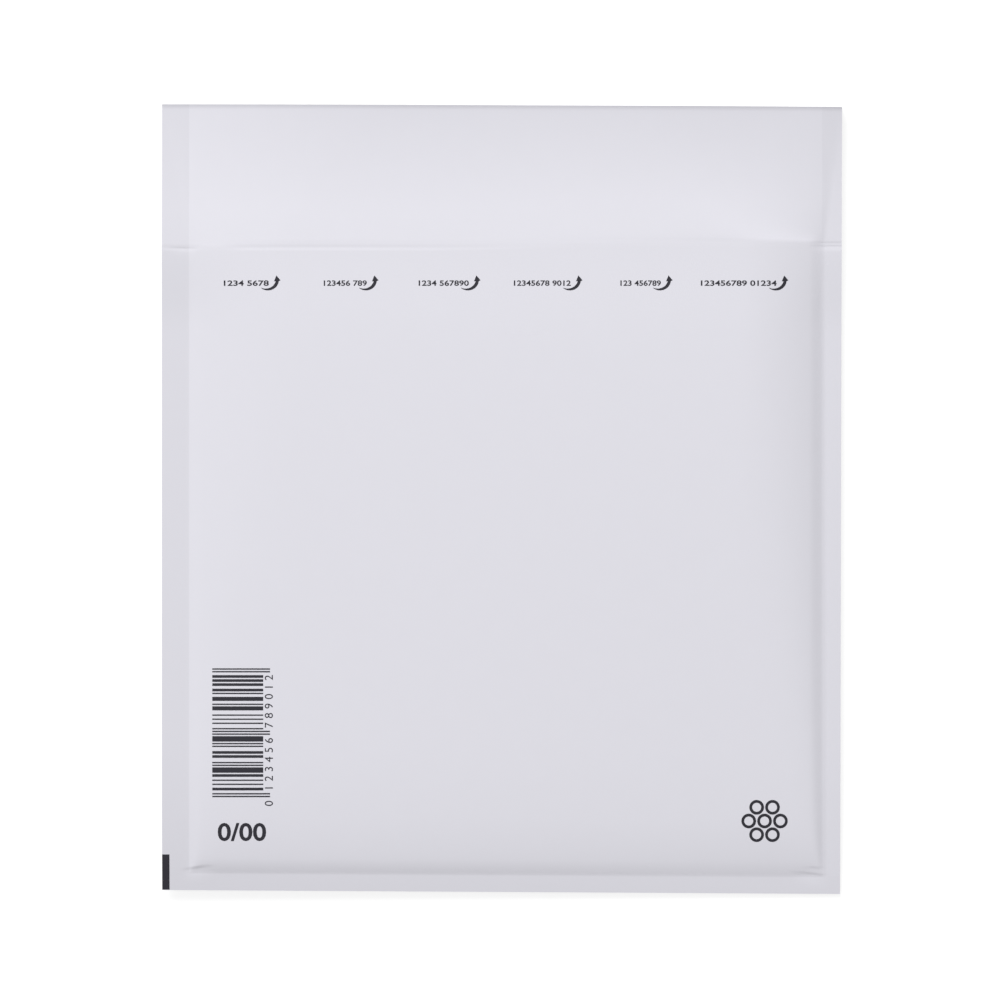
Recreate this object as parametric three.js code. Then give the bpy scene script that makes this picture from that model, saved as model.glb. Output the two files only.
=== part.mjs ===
// Padded mailing envelope with a bubble-film lining and an open self-seal flap.
// It lies on its back panel: X runs across the width, Y runs up to the flap's tip, Z is up.
// All sizes are in millimetres.

import * as THREE from 'three';

// Outline of the paper
const overallWidth = 240;
const bodyLength = 228;
const flapLength = 50;
const mouthSetback = 6;

// Seams, where the front and back panels are joined
const leftSeam = 9.4;
const rightSeam = 6.5;
const bottomSeam = 6.2;
const seamHeight = 4.4;

// Layers
const paperThickness = 0.3;
const fitGap = 0.3;
const liningHeight = 2.4;
const pocketGap = 5;

// Pillow shape of the front panel. From each seam it rises over a steep step, a soft crown and a
// long swell. The shares say how much of the rise the step and the crown take.
const stepRun = 6;
const leftCrown = 24;
const rightCrown = 36;
const bottomCrown = 20;
const swellRun = 160;
const sideShares = { step: 0.34, crown: 0.58 };
const bottomShares = { step: 0.15, crown: 0.2 };

// Underside of the back panel: flat on the table, with edges that rise to the seams
const backRun = 11;
const backRunAtMouth = 20;
const cornerPower = 3;

// The mouth stands a little open, so the seams lift and the crown drops towards the crease
const mouthRun = 30;
const mouthLift = 1.2;
const mouthDrop = 0.4;

// Crease between the body and the flap
const creaseHalfWidth = 1;
const creaseDepth = 0.3;

// Flap: it falls straight past the crease, then curls up to its tip. Across, it keeps the body's
// bow at the crease and soon relaxes to a gentler one.
const flapStraight = 14;
const flapFall = 1.1;
const flapCurl = 4.3;
const flapRelax = 8;
const flapEdgeLift = 2;
const flapRunAtTip = 60;

// Where the lining starts and stops
const liningInset = 1.2;
const liningBelowCrease = 2.5;
const pocketClear = 0.4;

// Self-seal strip on the inner side of the flap, and the liner that covers it
const adhesiveWidth = 20;
const adhesiveThickness = 0.3;
const adhesiveSideInset = 8;
const linerWidth = 28;
const linerThickness = 0.3;
const linerSideInset = 1;
const linerFromTip = 4;

// Places worked out from the sizes
const leftEdge = -overallWidth / 2;
const rightEdge = overallWidth / 2;
const bottomEdge = -(bodyLength + flapLength) / 2;
const creaseY = bottomEdge + bodyLength;
const flapTip = creaseY + flapLength;
const mouthY = creaseY - mouthSetback;
const leftSeamX = leftEdge + leftSeam;
const rightSeamX = rightEdge - rightSeam;
const bottomSeamY = bottomEdge + bottomSeam;
const padHeight = 2 * (paperThickness + fitGap + liningHeight) + pocketGap;

const clamp01 = (t) => Math.min(1, Math.max(0, t));
const mix = (a, b, t) => a + (b - a) * t;
const easeOut = (t) => 1 - (1 - clamp01(t)) ** 2;
const quarterSine = (t) => Math.sin((Math.PI / 2) * clamp01(t));
const smooth = (t) => clamp01(t) ** 2 * (3 - 2 * clamp01(t));

// Rise of the pad at a distance inside one seam, from 0 at the seam to 1.
function riseFrom(distance, crownRun, shares) {
  const swellShare = 1 - shares.step - shares.crown;
  return (
    shares.step * quarterSine(distance / stepRun) +
    shares.crown * easeOut(distance / crownRun) +
    swellShare * easeOut(distance / swellRun)
  );
}

const riseAcross = (x) =>
  riseFrom(x - leftSeamX, leftCrown, sideShares) * riseFrom(rightSeamX - x, rightCrown, sideShares);
const riseAlong = (y) => riseFrom(y - bottomSeamY, bottomCrown, bottomShares);

// 0 in the body, rising to 1 at the crease, over the stretch that the open mouth bends.
const openness = (y) => smooth((y - (creaseY - mouthRun)) / mouthRun);

// Level of the glue line between the two panels.
const seamLevel = (y) => seamHeight + mouthLift * openness(y);

// Height of the crown's top along the middle of the body.
const crownLevel = (y) => padHeight - mouthDrop * openness(y);

// Outer face of the front panel's body. The product of its rises rounds the corners.
function bodyTop(x, y) {
  return mix(seamLevel(y) + paperThickness, crownLevel(y), riseAcross(x) * riseAlong(y));
}

// Outer face of the flap: bowed across, and more gently so towards the tip.
function flapTop(x, y) {
  const past = y - creaseY;
  const along = past / flapLength;
  const edge = seamLevel(creaseY) + paperThickness + flapEdgeLift * along;
  const curl = Math.max(0, past - flapStraight) / (flapLength - flapStraight);
  const fall = (flapFall * past) / flapStraight;
  const middle = crownLevel(creaseY) - fall + flapCurl * curl ** 2;
  const fromSide = x < 0 ? x - leftEdge : rightEdge - x;
  const flatSide = (x < 0 ? leftSeam : rightSeam) * (1 - along);
  const run = mix(rightCrown, flapRunAtTip, along);
  const relaxedBow = easeOut((fromSide - flatSide) / run);
  const bowAtCrease = riseAcross(x) * riseAlong(creaseY);
  return mix(edge, middle, mix(bowAtCrease, relaxedBow, smooth(past / flapRelax)));
}

// Outer face of the whole front sheet: body, creased groove, flap.
function frontTop(x, y) {
  const groove = creaseDepth * Math.max(0, 1 - Math.abs(y - creaseY) / creaseHalfWidth);
  return (y > creaseY ? flapTop(x, y) : bodyTop(x, y)) - groove;
}

// How far a point lies inside the three seams, rounded off where two of them meet.
function inset(x, y) {
  const distances = [x - leftSeamX, rightSeamX - x, y - bottomSeamY];
  if (Math.min(...distances) <= 0) {
    return 0;
  }
  const sum = distances.reduce((total, distance) => total + distance ** -cornerPower, 0);
  return sum ** (-1 / cornerPower);
}

// Outer face of the back panel, which is the envelope's underside.
function backUnder(x, y) {
  const run = mix(backRun, backRunAtMouth, openness(y));
  const rim = seamLevel(y) - paperThickness;
  return rim * (1 - quarterSine(inset(x, y) / run));
}

// A surface parallel to another one, at a distance measured square to it.
function offset(surface, distance) {
  const h = 0.05;
  return (x, y) => {
    const slopeX = (surface(x + h, y) - surface(x - h, y)) / (2 * h);
    const slopeY = (surface(x, y + h) - surface(x, y - h)) / (2 * h);
    return surface(x, y) + distance * Math.sqrt(1 + slopeX ** 2 + slopeY ** 2);
  };
}

// Grid lines: close together on the steep step, wider on the crown, even in between.
const insetLines = [0, liningInset, 0.45 * stepRun, 0.7 * stepRun, stepRun, backRun];
const seamLines = (crownRun) => [...insetLines, mix(backRun, crownRun, 0.4), crownRun];

function evenLines(from, to, count) {
  return Array.from({ length: count }, (_, i) => mix(from, to, (i + 1) / (count + 1)));
}

const acrossLines = [
  leftEdge,
  ...seamLines(leftCrown).map((distance) => leftSeamX + distance),
  ...evenLines(leftSeamX + leftCrown, rightSeamX - rightCrown, 6),
  ...seamLines(rightCrown).map((distance) => rightSeamX - distance).reverse(),
  rightEdge,
];

const mouthStart = creaseY - mouthRun;
const upLines = [
  bottomEdge,
  ...seamLines(bottomCrown).map((distance) => bottomSeamY + distance),
  ...evenLines(bottomSeamY + bottomCrown, mouthStart, 6),
  mouthStart,
  ...evenLines(mouthStart, mouthY, 3),
  mouthY,
  creaseY - 2 * creaseHalfWidth,
  creaseY - creaseHalfWidth,
  creaseY,
  creaseY + creaseHalfWidth,
  creaseY + flapRelax / 2,
  creaseY + flapRelax,
  creaseY + flapStraight,
  ...evenLines(creaseY + flapStraight, flapTip, 4),
  flapTip,
];

const between = (lines, low, high) => lines.filter((line) => line >= low && line <= high);

// Collects the faces of one closed solid. Points with the same name are one shared vertex.
class Skin {
  constructor() {
    this.points = [];
    this.faces = [];
    this.names = new Map();
  }

  point(name, x, y, z) {
    if (!this.names.has(name)) {
      this.names.set(name, this.points.length / 3);
      this.points.push(x, y, z);
    }
    return this.names.get(name);
  }

  face(...corners) {
    for (let i = 2; i < corners.length; i += 1) {
      this.faces.push(corners[0], corners[i - 1], corners[i]);
    }
  }

  geometry() {
    const geometry = new THREE.BufferGeometry();
    geometry.setAttribute('position', new THREE.Float32BufferAttribute(this.points, 3));
    geometry.setIndex(this.faces);
    geometry.computeVertexNormals();
    return geometry;
  }
}

// A pocket made of one folded sheet. The front layer covers the whole grid. The back layer stops
// at the line called mouth, and joins the front one outside the lines left, right and bottom.
function pocketGeometry(grid, surfaces) {
  const { xs, ys, left, right, bottom, mouth } = grid;
  const skin = new Skin();
  const lastX = xs.length - 1;
  const lastY = ys.length - 1;
  const isOpen = (i, j) => i > left && i < right && j > bottom;
  const at = (layer) => (i, j) => {
    const shared = layer === 'floor' && !isOpen(i, j) ? 'ceiling' : layer;
    const height = isOpen(i, j) || shared !== 'ceiling' ? surfaces[shared] : surfaces.joint;
    const z = height(xs[i], ys[j]);
    return skin.point(`${shared} ${i} ${j}`, xs[i], ys[j], z);
  };
  const top = at('top');
  const ceiling = at('ceiling');
  const floor = at('floor');
  const under = at('under');

  for (let j = 0; j < lastY; j += 1) {
    const pastMouth = j >= mouth;
    for (let i = 0; i < lastX; i += 1) {
      const inPocket = i >= left && i < right && j >= bottom;
      skin.face(top(i, j), top(i + 1, j), top(i + 1, j + 1), top(i, j + 1));
      if (inPocket || pastMouth) {
        skin.face(ceiling(i, j), ceiling(i, j + 1), ceiling(i + 1, j + 1), ceiling(i + 1, j));
      }
      if (inPocket && !pastMouth) {
        skin.face(floor(i, j), floor(i + 1, j), floor(i + 1, j + 1), floor(i, j + 1));
      }
      if (!pastMouth) {
        skin.face(under(i, j), under(i, j + 1), under(i + 1, j + 1), under(i + 1, j));
      }
    }
    const lower = pastMouth ? ceiling : under;
    const step = j === mouth - 1;
    const leftCorner = step ? [ceiling(0, j + 1)] : [];
    const rightCorner = step ? [ceiling(lastX, j + 1)] : [];
    skin.face(lower(0, j), top(0, j), top(0, j + 1), ...leftCorner, lower(0, j + 1));
    skin.face(lower(lastX, j), lower(lastX, j + 1), ...rightCorner, top(lastX, j + 1), top(lastX, j));
  }
  for (let i = 0; i < lastX; i += 1) {
    skin.face(top(i, 0), under(i, 0), under(i + 1, 0), top(i + 1, 0));
    skin.face(top(i, lastY), top(i + 1, lastY), ceiling(i + 1, lastY), ceiling(i, lastY));
    skin.face(floor(i, mouth), floor(i + 1, mouth), under(i + 1, mouth), under(i, mouth));
  }
  return skin.geometry();
}

// A thin band that follows two surfaces, closed all round.
function bandGeometry(xs, ys, topSurface, underSurface) {
  const skin = new Skin();
  const lastX = xs.length - 1;
  const lastY = ys.length - 1;
  const top = (i, j) => skin.point(`top ${i} ${j}`, xs[i], ys[j], topSurface(xs[i], ys[j]));
  const under = (i, j) => skin.point(`under ${i} ${j}`, xs[i], ys[j], underSurface(xs[i], ys[j]));
  for (let j = 0; j < lastY; j += 1) {
    for (let i = 0; i < lastX; i += 1) {
      skin.face(top(i, j), top(i + 1, j), top(i + 1, j + 1), top(i, j + 1));
      skin.face(under(i, j), under(i, j + 1), under(i + 1, j + 1), under(i + 1, j));
    }
    skin.face(top(0, j), top(0, j + 1), under(0, j + 1), under(0, j));
    skin.face(top(lastX, j), under(lastX, j), under(lastX, j + 1), top(lastX, j + 1));
  }
  for (let i = 0; i < lastX; i += 1) {
    skin.face(top(i, 0), under(i, 0), under(i + 1, 0), top(i + 1, 0));
    skin.face(top(i, lastY), top(i + 1, lastY), under(i + 1, lastY), under(i, lastY));
  }
  return skin.geometry();
}

function namedMesh(name, geometry, material) {
  const mesh = new THREE.Mesh(geometry, material);
  mesh.name = name;
  return mesh;
}

// White kraft paper: front panel, bottom fold, back panel, side seams and flap in one sheet.
function outerCover() {
  const grid = {
    xs: acrossLines,
    ys: upLines,
    left: acrossLines.indexOf(leftSeamX),
    right: acrossLines.indexOf(rightSeamX),
    bottom: upLines.indexOf(bottomSeamY),
    mouth: upLines.indexOf(mouthY),
  };
  const frontUnder = offset(frontTop, -paperThickness);
  const surfaces = {
    top: frontTop,
    ceiling: frontUnder,
    floor: offset(backUnder, paperThickness),
    under: backUnder,
    joint: (x, y) => (y > mouthY ? frontUnder(x, y) : seamLevel(y)),
  };
  const paper = new THREE.MeshStandardMaterial({ color: 0xefeef3, roughness: 0.85, metalness: 0 });
  return namedMesh('outer_cover', pocketGeometry(grid, surfaces), paper);
}

// Air-bubble film, folded at the bottom inside the paper and welded to itself near the seams.
function bubbleLining() {
  const liningTopEnd = creaseY - liningBelowCrease;
  const xs = between(acrossLines, leftSeamX + liningInset, rightSeamX - liningInset);
  const ys = [...between(upLines, bottomSeamY + liningInset, mouthY), liningTopEnd];
  const grid = {
    xs,
    ys,
    left: xs.indexOf(leftSeamX + stepRun),
    right: xs.indexOf(rightSeamX - stepRun),
    bottom: ys.indexOf(bottomSeamY + stepRun),
    mouth: ys.indexOf(mouthY),
  };
  const outside = paperThickness + fitGap;
  const top = offset(frontTop, -outside);
  const under = offset(backUnder, outside);
  const ceiling = offset(frontTop, -outside - liningHeight);
  const floor = offset(backUnder, outside + liningHeight);
  const middle = (x, y) => (top(x, y) + under(x, y)) / 2;
  const surfaces = {
    top,
    ceiling: (x, y) => Math.max(ceiling(x, y), middle(x, y) + pocketClear / 2),
    floor: (x, y) => Math.min(floor(x, y), middle(x, y) - pocketClear / 2),
    under,
    joint: middle,
  };
  const film = new THREE.MeshStandardMaterial({ color: 0xdfe8ec, roughness: 0.3, metalness: 0 });
  return namedMesh('bubble_lining', pocketGeometry(grid, surfaces), film);
}

// A band on the flap's inner side, from one side to the other.
function flapBand(sideInset, middleY, width, depth, thickness) {
  const left = leftEdge + sideInset;
  const right = rightEdge - sideInset;
  const low = middleY - width / 2;
  const high = middleY + width / 2;
  const xs = [...new Set([left, ...between(acrossLines, left, right), right])];
  const ys = [...new Set([low, ...between(upLines, low, high), high])];
  return bandGeometry(xs, ys, offset(frontTop, -depth), offset(frontTop, -depth - thickness));
}

const stripMiddle = flapTip - linerFromTip - linerWidth / 2;
const adhesiveDepth = paperThickness + fitGap;
const linerDepth = adhesiveDepth + adhesiveThickness + fitGap;

// Hot-melt adhesive on the flap.
function adhesiveStrip() {
  const band = [adhesiveSideInset, stripMiddle, adhesiveWidth, adhesiveDepth, adhesiveThickness];
  const glue = new THREE.MeshStandardMaterial({ color: 0xd8cfae, roughness: 0.35, metalness: 0 });
  return namedMesh('adhesive_strip', flapBand(...band), glue);
}

// Siliconed paper that covers the adhesive until the envelope is used.
function releaseLiner() {
  const band = [linerSideInset, stripMiddle, linerWidth, linerDepth, linerThickness];
  const silicone = new THREE.MeshStandardMaterial({ color: 0xf3f1ea, roughness: 0.45, metalness: 0 });
  return namedMesh('release_liner', flapBand(...band), silicone);
}

const envelope = new THREE.Group();
envelope.name = 'padded_envelope';
envelope.add(outerCover(), bubbleLining(), adhesiveStrip(), releaseLiner());

export default envelope;
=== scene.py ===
import math

import bmesh
import bpy
import numpy as np
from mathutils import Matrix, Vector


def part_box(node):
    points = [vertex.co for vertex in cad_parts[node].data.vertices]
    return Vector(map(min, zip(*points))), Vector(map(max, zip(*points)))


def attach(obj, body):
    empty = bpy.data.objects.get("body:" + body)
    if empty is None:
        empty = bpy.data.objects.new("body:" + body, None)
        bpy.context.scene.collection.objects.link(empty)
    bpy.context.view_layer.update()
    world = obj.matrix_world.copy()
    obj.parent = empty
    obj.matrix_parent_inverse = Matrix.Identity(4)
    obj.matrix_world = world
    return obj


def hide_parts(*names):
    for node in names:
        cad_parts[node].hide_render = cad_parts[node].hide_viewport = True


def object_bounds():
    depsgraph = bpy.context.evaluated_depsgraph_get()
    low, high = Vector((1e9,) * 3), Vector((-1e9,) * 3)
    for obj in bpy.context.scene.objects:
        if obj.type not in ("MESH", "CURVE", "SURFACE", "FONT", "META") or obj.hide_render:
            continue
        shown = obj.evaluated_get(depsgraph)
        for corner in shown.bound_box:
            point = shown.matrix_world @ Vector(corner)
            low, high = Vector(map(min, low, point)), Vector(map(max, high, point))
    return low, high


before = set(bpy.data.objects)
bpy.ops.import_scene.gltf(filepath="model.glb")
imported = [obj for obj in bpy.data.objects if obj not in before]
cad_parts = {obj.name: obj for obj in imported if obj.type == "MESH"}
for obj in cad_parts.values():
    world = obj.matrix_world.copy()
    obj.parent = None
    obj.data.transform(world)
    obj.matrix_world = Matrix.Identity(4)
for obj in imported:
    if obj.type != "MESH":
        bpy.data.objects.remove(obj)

bl_info = {
    "name": "Padded envelope",
    "version": (1, 0, 0),
    "blender": (4, 5, 0),
    "location": "3D View > Sidebar > Envelope",
    "description": "Builds a padded mailing envelope: paper cover, bubble film, flap seal and print",
    "category": "Object",
}

MM = 0.001
CAD_LOW, CAD_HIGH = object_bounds()
PAD_LOW, PAD_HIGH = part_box("bubble_lining")
LINER_LOW, LINER_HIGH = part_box("release_liner")
GLUE_LOW, GLUE_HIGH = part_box("adhesive_strip")
LINING_INSET = 1.2 * MM
LINING_BELOW_CREASE = 2.5 * MM
LEFT_SEAM = PAD_LOW.x - LINING_INSET - CAD_LOW.x
RIGHT_SEAM = CAD_HIGH.x - PAD_HIGH.x - LINING_INSET
BOTTOM_SEAM = PAD_LOW.y - LINING_INSET - CAD_LOW.y
CREASE_Y = PAD_HIGH.y + LINING_BELOW_CREASE
TINY = 1e-6


def length(name, description, value):
    """A size in metres that the sidebar shows."""
    return bpy.props.FloatProperty(
        name=name, description=description, default=value, precision=5, subtype="DISTANCE", unit="LENGTH"
    )


def linear(hex_colour):
    """The linear colour of an sRGB hex value."""
    values = [int(hex_colour[i : i + 2], 16) / 255 for i in (1, 3, 5)]
    return tuple(v / 12.92 if v <= 0.04045 else ((v + 0.055) / 1.055) ** 2.4 for v in values)


def colour(name, description, hex_colour):
    """A surface colour that the sidebar shows."""
    return bpy.props.FloatVectorProperty(
        name=name, description=description, default=linear(hex_colour), size=3, min=0, max=1, subtype="COLOR"
    )


class EnvelopeSizes(bpy.types.PropertyGroup):
    """Sizes of the envelope. What the frame holds is read from it."""

    left_seam: length("Left seam", "Width of the glued margin on the left", LEFT_SEAM)
    right_seam: length("Right seam", "Width of the glued margin on the right", RIGHT_SEAM)
    bottom_seam: length("Bottom seam", "Depth of the flat strip at the bottom fold", BOTTOM_SEAM)
    seam_lean: length("Seam lean", "How much narrower the right margin is at the bottom", 0.75 * MM)
    crease: length("Crease", "Where the crease of the flap crosses the middle", CREASE_Y)
    pad_height: length("Pad height", "Height of the pad above the table", 11 * MM)
    left_seam_height: length("Left seam height", "Height of the left glue line above the table", 8 * MM)
    right_seam_height: length("Right seam height", "Height of the right glue line", 3.2 * MM)
    left_droop: length("Left droop", "How far the glue line droops at the lower left corner", 3.6 * MM)
    right_droop: length("Right droop", "How far it droops at the lower right corner", 2 * MM)
    droop_run: length("Droop run", "Stretch of that droop", 50 * MM)
    paper: length("Paper", "Thickness of the paper", 0.3 * MM)
    fit_gap: length("Gap", "Room between the paper and the film", 0.3 * MM)
    lining_height: length("Bubble height", "Height of the film with its bubbles", 2.4 * MM)
    film: length("Film", "Thickness of the flat film", 0.15 * MM)
    side_step: length("Side step", "Run of the steep edge of the pad at the sides", 5 * MM)
    bottom_step: length("Bottom step", "Run of the steep edge of the pad at the bottom", 6.7 * MM)
    left_crown: length("Left crown", "Run of the soft rise from the left seam", 38 * MM)
    right_crown: length("Right crown", "Run of the soft rise from the right seam", 30 * MM)
    bottom_crown: length("Bottom crown", "Run of the soft rise from the bottom seam", 20 * MM)
    swell: length("Swell", "Run of the last, slight rise to the middle of the pad", 160 * MM)
    bottom_swell: length("Bottom swell", "Run of that rise from the bottom seam", 190 * MM)
    back_run: length("Back edge", "Run of the rounded edge under the pad", 11 * MM)
    back_left_run: length("Back left edge", "Run of that edge on the raised left side", 22 * MM)
    back_run_at_mouth: length("Back edge at mouth", "The same run at the mouth", 20 * MM)
    mouth_run: length("Mouth run", "Stretch below the crease that the open mouth bends", 30 * MM)
    mouth_left_lift: length("Mouth left lift", "How far the left seam lifts at the mouth", 1.2 * MM)
    mouth_right_lift: length("Mouth right lift", "How far the right seam lifts there", 1.2 * MM)
    mouth_drop: length("Mouth drop", "How far the crown drops at the mouth", 0.4 * MM)
    mouth_setback: length("Mouth setback", "How far the back panel stops below the crease", 6 * MM)
    crease_half_width: length("Crease half width", "Half the width of the creased groove", 1.2 * MM)
    crease_depth: length("Crease depth", "Depth of the groove where it is pressed hardest", 0.1 * MM)
    crease_shift: length("Crease shift", "How much higher the crease lies on its right part", 1.5 * MM)
    pinch_depth: length("Pinch depth", "Depth of the creases that the margins take at the fold", 0.15 * MM)
    tuck_depth: length("Tuck depth", "Depth of the tucks at the two lower corners", 0.22 * MM)
    crumple: length("Crumple", "Height of the slight crumples beside the flap's margins", 0.08 * MM)
    tip_skew: length("Tip skew", "How much lower the tip is cut at the right edge", 0.9 * MM)
    bottom_skew: length("Bottom skew", "How much lower the bottom lies at the right edge", 1.5 * MM)
    taper: length("Taper", "How much wider the sheet is at the tip, all on its right", 0.6 * MM)
    flap_straight: length("Flap straight", "How far past the crease the flap falls straight", 14 * MM)
    flap_fall: length("Flap fall", "How far it falls on that stretch", 1.1 * MM)
    flap_curl: length("Flap curl", "How far its tip curls up from that line", 3.4 * MM)
    flap_right_curl: length("Flap right curl", "How far it curls up at the right corner", 2.2 * MM)
    flap_relax: length("Flap relax", "Stretch past the crease that keeps the body's bow", 3 * MM)
    flap_left_lift: length("Flap left lift", "Rise of its left edge towards the tip", -2.8 * MM)
    flap_right_lift: length("Flap right lift", "Rise of its right edge towards the tip", 3 * MM)
    flap_run_at_tip: length("Flap bow", "Run of its bow at the tip", 75 * MM)
    burr: length("Burr", "How far the cut edge at the tip curls up", 0.35 * MM)
    burr_run: length("Burr run", "Stretch of that curl", 1.8 * MM)
    bubble_pitch: length("Bubble pitch", "Distance between neighbouring bubbles", 12.5 * MM)
    bubble_radius: length("Bubble radius", "Radius of a bubble at its foot", 5 * MM)
    ink: length("Ink", "Height of the printing ink, drawn thicker than real so that it stays whole", 0.03 * MM)


class EnvelopeColours(bpy.types.PropertyGroup):
    """Colours of the envelope."""

    paper: colour("Paper", "White kraft paper", "#e9e8f0")
    ink: colour("Ink", "Printing ink", "#1c1a27")
    film: colour("Film", "Air-bubble film", "#e6ecf1")
    glue: colour("Adhesive", "Hot-melt adhesive", "#d8cfae")
    liner: colour("Liner", "Siliconed paper", "#efeee9")
    floor: colour("Floor", "Floor and backdrop", "#a6a6a6")


def clamp01(t):
    return np.clip(t, 0, 1)


def mix(a, b, t):
    return a + (b - a) * t


def ease_out(t):
    return 1 - (1 - clamp01(t)) ** 2


def quarter_sine(t):
    return np.sin(math.pi / 2 * clamp01(t))


def smooth(t):
    return clamp01(t) ** 2 * (3 - 2 * clamp01(t))


def hump(x, centre, half_width):
    """A smooth rise from 0 to 1 and back, centred on a place."""
    return smooth(1 - np.abs(x - centre) / half_width)


def rise_from(distance, runs, shares):
    """Rise of the pad inside one side seam, from 0 to 1: a smooth step and two parabolas, over the
    crown and the swell, each with its share."""
    step, crown, swell = (distance / run for run in runs)
    return shares[0] * smooth(step) + shares[1] * ease_out(crown) + shares[2] * ease_out(swell)


def rise_from_bottom(distance, s, shares):
    """Rise of the pad inside the bottom seam. The step starts at its steepest and ends level, as
    twice t less twice its cube plus its fourth power. A parabola and a slower swell follow."""
    step = clamp01(distance / s.bottom_step)
    swell = 1 - (1 - clamp01(distance / s.bottom_swell)) ** 1.5
    rises = (2 * step - 2 * step**3 + step**4, ease_out(distance / s.bottom_crown), swell)
    return sum(share * rise for share, rise in zip(shares, rises))


def inside_seams(x, y, s):
    """How far a point lies inside the left, right and bottom seams. The right one leans outwards
    towards the bottom."""
    lean = s.seam_lean * clamp01((s.crease - y) / (s.crease - CAD_LOW.y))
    return x - CAD_LOW.x - s.left_seam, CAD_HIGH.x - s.right_seam + lean - x, y - CAD_LOW.y - s.bottom_seam


LEFT_SHARES = (0.06, 0.84, 0.1)
RIGHT_SHARES = (0.08, 0.86, 0.06)
BOTTOM_SHARES = ((0.13, 0.036), (0.1, 0.13), (0.77, 0.834))
CORNER_POWER = 3


PINCHES = (
    (((-118 * MM, 88.05 * MM), (-107 * MM, 87.85 * MM)), 0.6 * MM, 0.9),
    (((108 * MM, 90.9 * MM), (126 * MM, 91 * MM)), 0.6 * MM, 0.8),
    (((108 * MM, 89.7 * MM), (126 * MM, 89.8 * MM)), 0.6 * MM, 1.1),
)
TUCKS = (
    (((-113.2 * MM, -132.1 * MM), (-102 * MM, -130.2 * MM)), 0.7 * MM, 1.3),
    (((103 * MM, -131.3 * MM), (115.5 * MM, -132.9 * MM)), 0.7 * MM, 1),
    (((107 * MM, -129.8 * MM), (114.5 * MM, -130.1 * MM)), 0.6 * MM, 0.7),
)
CRUMPLES = (
    (((114 * MM, 127 * MM), (116.5 * MM, 106 * MM)), 2 * MM, 1),
    (((112.5 * MM, 104 * MM), (116 * MM, 93 * MM)), 1.5 * MM, 1),
    (((-111 * MM, 136 * MM), (-109.5 * MM, 100 * MM)), 1.6 * MM, 0.8),
    (((113 * MM, 80 * MM), (112 * MM, 60 * MM)), 1.6 * MM, 0.6),
)


def openness(y, s):
    """0 in the body, rising smoothly to 1 at the crease, over the stretch that the mouth bends."""
    return smooth((y - s.crease + s.mouth_run) / s.mouth_run)


def seam_level(x, y, s):
    """Height of the glue line. It leans from the left seam down to the right one, lifts at the
    open mouth, and droops at the bottom as a parabola."""
    near_bottom = clamp01(1 - (y - CAD_LOW.y) / s.droop_run) ** 2
    left = s.left_seam_height + s.mouth_left_lift * openness(y, s) - s.left_droop * near_bottom
    right = s.right_seam_height + s.mouth_right_lift * openness(y, s) - s.right_droop * near_bottom
    return mix(left, right, (x - CAD_LOW.x) / (CAD_HIGH.x - CAD_LOW.x))


def crown_level(y, s):
    return s.pad_height - s.mouth_drop * openness(y, s)


def pad_rise(x, y, s):
    """Rise of the front panel, from 0 at the seams to 1. Across, it is the product of the rises
    from both sides. A power mean joins it to the rise from the bottom and rounds the corners."""
    left, right, bottom = inside_seams(x, y, s)
    across = rise_from(left, (s.side_step, s.left_crown, s.swell), LEFT_SHARES) * rise_from(
        right, (s.side_step, s.right_crown, s.swell), RIGHT_SHARES
    )
    across_share = clamp01((x - CAD_LOW.x) / (CAD_HIGH.x - CAD_LOW.x))
    shares = [mix(left, right, across_share) for left, right in BOTTOM_SHARES]
    along = rise_from_bottom(bottom, s, shares)
    joined = sum(np.maximum(rise, TINY) ** -CORNER_POWER for rise in (across, along)) - 1
    return np.where(np.minimum(across, along) > 0, joined ** (-1 / CORNER_POWER), 0)


def body_top(x, y, s):
    """Front panel: it rises from the level of the seams to the level of the crown."""
    return mix(seam_level(x, y, s) + s.paper, crown_level(y, s), pad_rise(x, y, s))


def flap_top(x, y, s):
    """Flap: it falls straight past the crease and curls up to its tip as a parabola. Across, it
    keeps the body's bow at the crease and soon relaxes to a parabola that widens towards the tip.
    The cut edge at the tip curls up a little more."""
    line = crease_line(x, s)
    past = np.maximum(0, y - line)
    length = CAD_HIGH.y - line
    along = past / length
    lift = np.where(x < 0, s.flap_left_lift * along**2, s.flap_right_lift * along)
    edge = seam_level(x, line, s) + s.paper + lift
    from_side = np.where(x < 0, x - CAD_LOW.x, CAD_HIGH.x - x)
    flat_side = np.where(x < 0, s.left_seam, s.right_seam) * (1 - along)
    crown_run = np.where(x < 0, s.left_crown, s.right_crown)
    spread = np.where(x < 0, along, 1 - (1 - along) ** 2.4)
    relaxed = ease_out((from_side - flat_side) / mix(crown_run, s.flap_run_at_tip, spread))
    bow = mix(pad_rise(x, line, s), relaxed, smooth(past / s.flap_relax))
    curl = np.maximum(0, past - s.flap_straight) / (length - s.flap_straight)
    curl_height = mix(s.flap_curl, s.flap_right_curl, smooth((x - 60 * MM) / (50 * MM)))
    sag = curl_height * curl**2 - s.flap_fall * past / s.flap_straight
    burr = s.burr * clamp01(1 - (length - past) / s.burr_run) ** 2
    return mix(edge, crown_level(line, s), bow) + sag + burr


def skewed(x, y, s):
    """Where a place of a square sheet lies on the real one: its ends slope down to the right, more
    so at the bottom, and its right part is wider towards the tip."""
    up = (y - CAD_LOW.y) / (CAD_HIGH.y - CAD_LOW.y)
    across = x / (CAD_HIGH.x - CAD_LOW.x)
    return x + s.taper * (up - 0.5) * np.maximum(across, 0) * 2, y - mix(s.bottom_skew, s.tip_skew, up) * across


def square(x, y, s):
    """The place of the square sheet that lies at a place of the real one."""
    real_x, real_y = skewed(x, y, s)
    return 2 * x - real_x, 2 * y - real_y


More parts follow.
